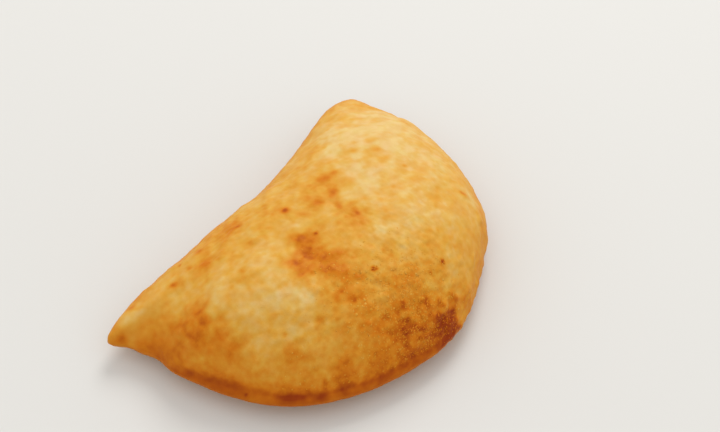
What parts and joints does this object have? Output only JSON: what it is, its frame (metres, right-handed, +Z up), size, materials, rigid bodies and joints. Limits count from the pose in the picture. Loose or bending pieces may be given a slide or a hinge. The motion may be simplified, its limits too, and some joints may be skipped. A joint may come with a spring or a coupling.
{
  "type": "fried half-moon rissole",
  "caption": "Half-moon fried pasty: dough folded over its filling, a rounded fold at the back, a pressed curved edge, a pulled tip at the left and a browned, fine-crumbed crust.",
  "frame": {"origin": "centre of the bounding box on the surface that the rissole lies on", "axes": "+X along the fold from the pulled tip towards the blunt tip, +Y towards the folded side, -Y towards the pressed round edge, +Z up"},
  "size_m": [0.0892, 0.0612, 0.0233],
  "materials": {
    "fried_crust": "fried dough with fine crumbs, browned in places, slightly oily"
  },
  "bodies": {
    "root": {"rissole": "fried_crust"}
  },
  "joints": []
}
